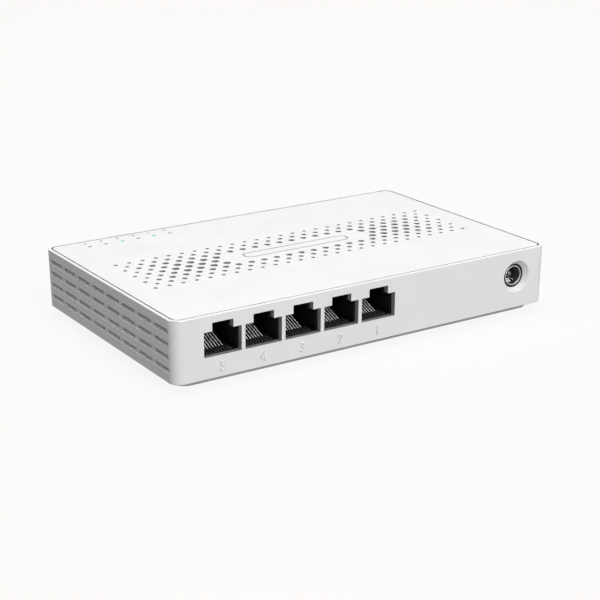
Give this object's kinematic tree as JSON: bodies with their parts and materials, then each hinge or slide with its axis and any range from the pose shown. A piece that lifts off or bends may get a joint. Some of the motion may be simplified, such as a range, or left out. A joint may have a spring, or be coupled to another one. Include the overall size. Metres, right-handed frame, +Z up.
{
  "type": "desktop network switch",
  "caption": "Flat white desktop network switch: ganged eight-way ports and a round DC inlet on the front face, perforated top, slotted sides, lit indicators.",
  "frame": {"origin": "on the surface the switch stands on, under the centre of its outline", "axes": "+Z up, port face towards -Y, +X to the right of somebody who faces the ports"},
  "size_m": [0.1414, 0.089, 0.0229],
  "materials": {
    "white_case": "fine satin",
    "black_plastic": "satin",
    "black_rubber": "matte",
    "plated_steel": "bright plated",
    "contact_wire": "bright drawn wire",
    "green_laminate": "solder mask",
    "chip_resin": "moulded",
    "grey_pad": "matte",
    "dark_aluminium": "anodised",
    "clear_plastic": "clear moulded",
    "led_lens": "clear"
  },
  "bodies": {
    "chassis": {"body_frame": "white_case", "top_panel": "white_case", "base_tray": "white_case", "rubber_foot_1": "black_rubber", "rubber_foot_2": "black_rubber", "rubber_foot_3": "black_rubber", "rubber_foot_4": "black_rubber", "case_screw_1": "plated_steel", "case_screw_2": "plated_steel", "case_screw_3": "plated_steel", "case_screw_4": "plated_steel", "circuit_board": "green_laminate", "board_screw_1": "plated_steel", "board_screw_2": "plated_steel", "board_screw_3": "plated_steel", "board_screw_4": "plated_steel", "port_housing": "black_plastic", "contact_insert_1": "black_plastic", "contact_insert_2": "black_plastic", "contact_insert_3": "black_plastic", "contact_insert_4": "black_plastic", "contact_insert_5": "black_plastic", "dc_jack_housing": "black_plastic", "dc_jack_sleeve": "plated_steel", "dc_jack_pin": "plated_steel", "line_transformer_1": "chip_resin", "line_transformer_2": "chip_resin", "line_transformer_3": "chip_resin", "line_transformer_4": "chip_resin", "line_transformer_5": "chip_resin", "switch_chip": "chip_resin", "thermal_pad": "grey_pad", "heatsink": "dark_aluminium", "crystal": "plated_steel", "flash_chip": "chip_resin", "power_inductor": "chip_resin", "voltage_regulator": "chip_resin", "input_diode": "chip_resin", "input_fuse": "clear_plastic", "capacitor_1": "dark_aluminium", "capacitor_2": "dark_aluminium", "led_1": "led_lens", "led_2": "led_lens", "led_3": "led_lens", "led_4": "led_lens", "led_5": "led_lens", "led_6": "led_lens", "light_pipe_strip": "clear_plastic"},
    "port_1_contacts": {"contact_set_1": "contact_wire"},
    "port_2_contacts": {"contact_set_2": "contact_wire"},
    "port_3_contacts": {"contact_set_3": "contact_wire"},
    "port_4_contacts": {"contact_set_4": "contact_wire"},
    "port_5_contacts": {"contact_set_5": "contact_wire"},
    "dc_contact": {"dc_jack_leaf": "contact_wire"}
  },
  "joints": [
    {"name": "port_1_contact_bend", "type": "hinge", "parent": "chassis", "child": "port_1_contacts", "pos_m": [0.00159, -0.0384, 0.0098], "axis": [-1, 0, 0], "range_deg": [0, 8], "stiffness_Nm_per_rad": 0.4},
    {"name": "port_2_contact_bend", "type": "hinge", "parent": "chassis", "child": "port_2_contacts", "pos_m": [-0.01238, -0.0384, 0.0098], "axis": [-1, 0, 0], "range_deg": [0, 8], "stiffness_Nm_per_rad": 0.4},
    {"name": "port_3_contact_bend", "type": "hinge", "parent": "chassis", "child": "port_3_contacts", "pos_m": [-0.02635, -0.0384, 0.0098], "axis": [-1, 0, 0], "range_deg": [0, 8], "stiffness_Nm_per_rad": 0.4},
    {"name": "port_4_contact_bend", "type": "hinge", "parent": "chassis", "child": "port_4_contacts", "pos_m": [-0.04032, -0.0384, 0.0098], "axis": [-1, 0, 0], "range_deg": [0, 8], "stiffness_Nm_per_rad": 0.4},
    {"name": "port_5_contact_bend", "type": "hinge", "parent": "chassis", "child": "port_5_contacts", "pos_m": [-0.05429, -0.0384, 0.0098], "axis": [-1, 0, 0], "range_deg": [0, 8], "stiffness_Nm_per_rad": 0.4},
    {"name": "dc_contact_bend", "type": "hinge", "parent": "chassis", "child": "dc_contact", "pos_m": [0.058, -0.0339, 0.0102], "axis": [1, 0, 0], "range_deg": [0, 6], "stiffness_Nm_per_rad": 0.24}
  ]
}
